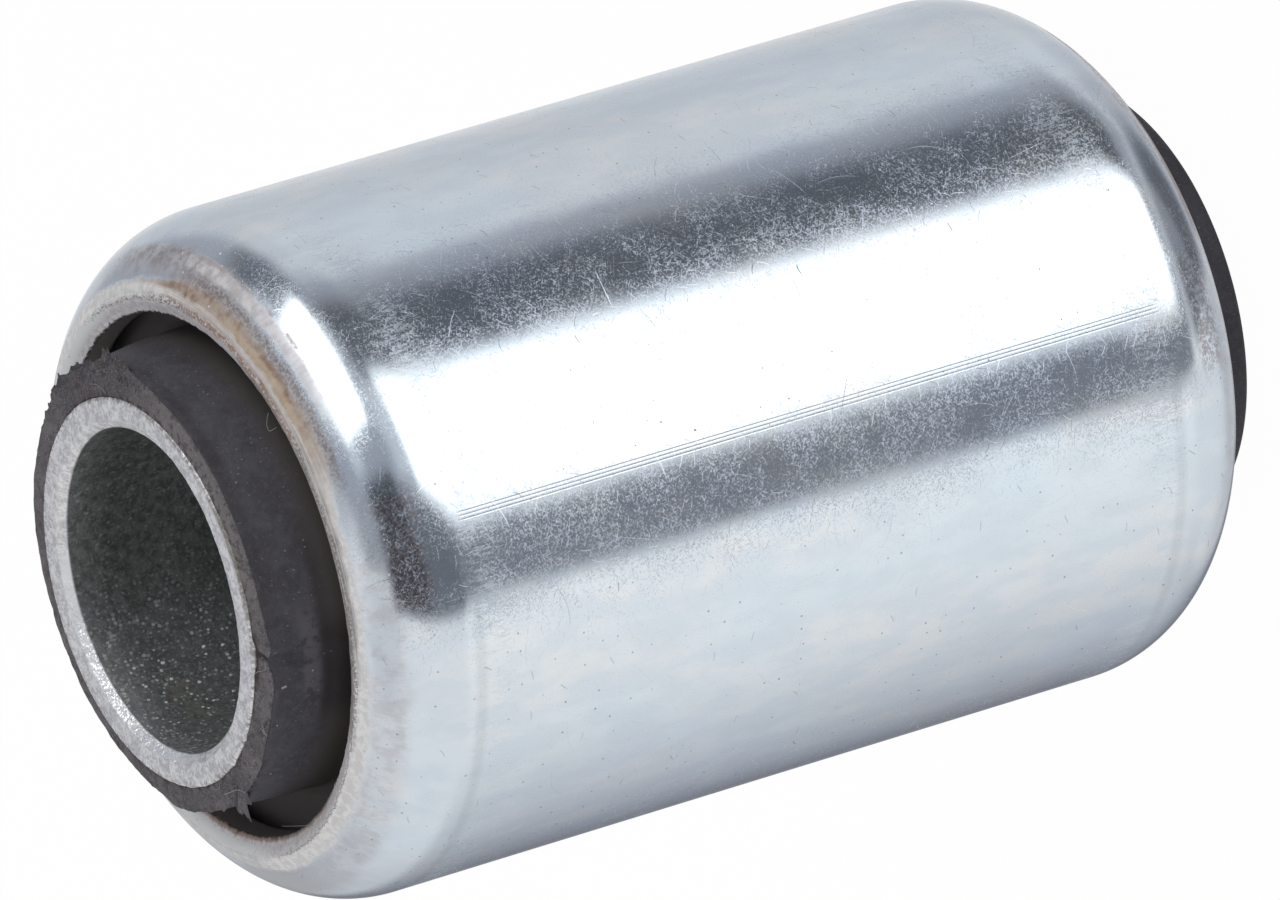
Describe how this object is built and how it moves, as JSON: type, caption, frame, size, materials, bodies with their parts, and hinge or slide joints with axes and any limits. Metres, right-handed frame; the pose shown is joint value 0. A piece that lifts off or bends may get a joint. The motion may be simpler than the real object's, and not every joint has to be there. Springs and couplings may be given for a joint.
{
  "type": "rubber metal bush",
  "caption": "Round rubber bush held between a steel inner tube for a bolt and a steel outer sleeve with rolled-in ends.",
  "frame": {"origin": "middle of the bore, on its axis, half way between the two ends", "axes": "+Z along the bore; the bush stands on its -Z end, as the rest pose; X and Y are free, because it is round"},
  "size_m": [0.0424, 0.0424, 0.0696],
  "materials": {
    "zinc_plated_steel": "bright zinc plate over drawn tube, finely scratched, with die lines along it",
    "rubber": "black moulded rubber, slightly bloomed and dusty, matte at its trimmed ends",
    "inner_steel": "cut tube, matte light grey end faces, dark oiled bore"
  },
  "bodies": {
    "root": {"outer_sleeve": "zinc_plated_steel", "rubber_element": "rubber", "inner_sleeve": "inner_steel"}
  },
  "joints": []
}
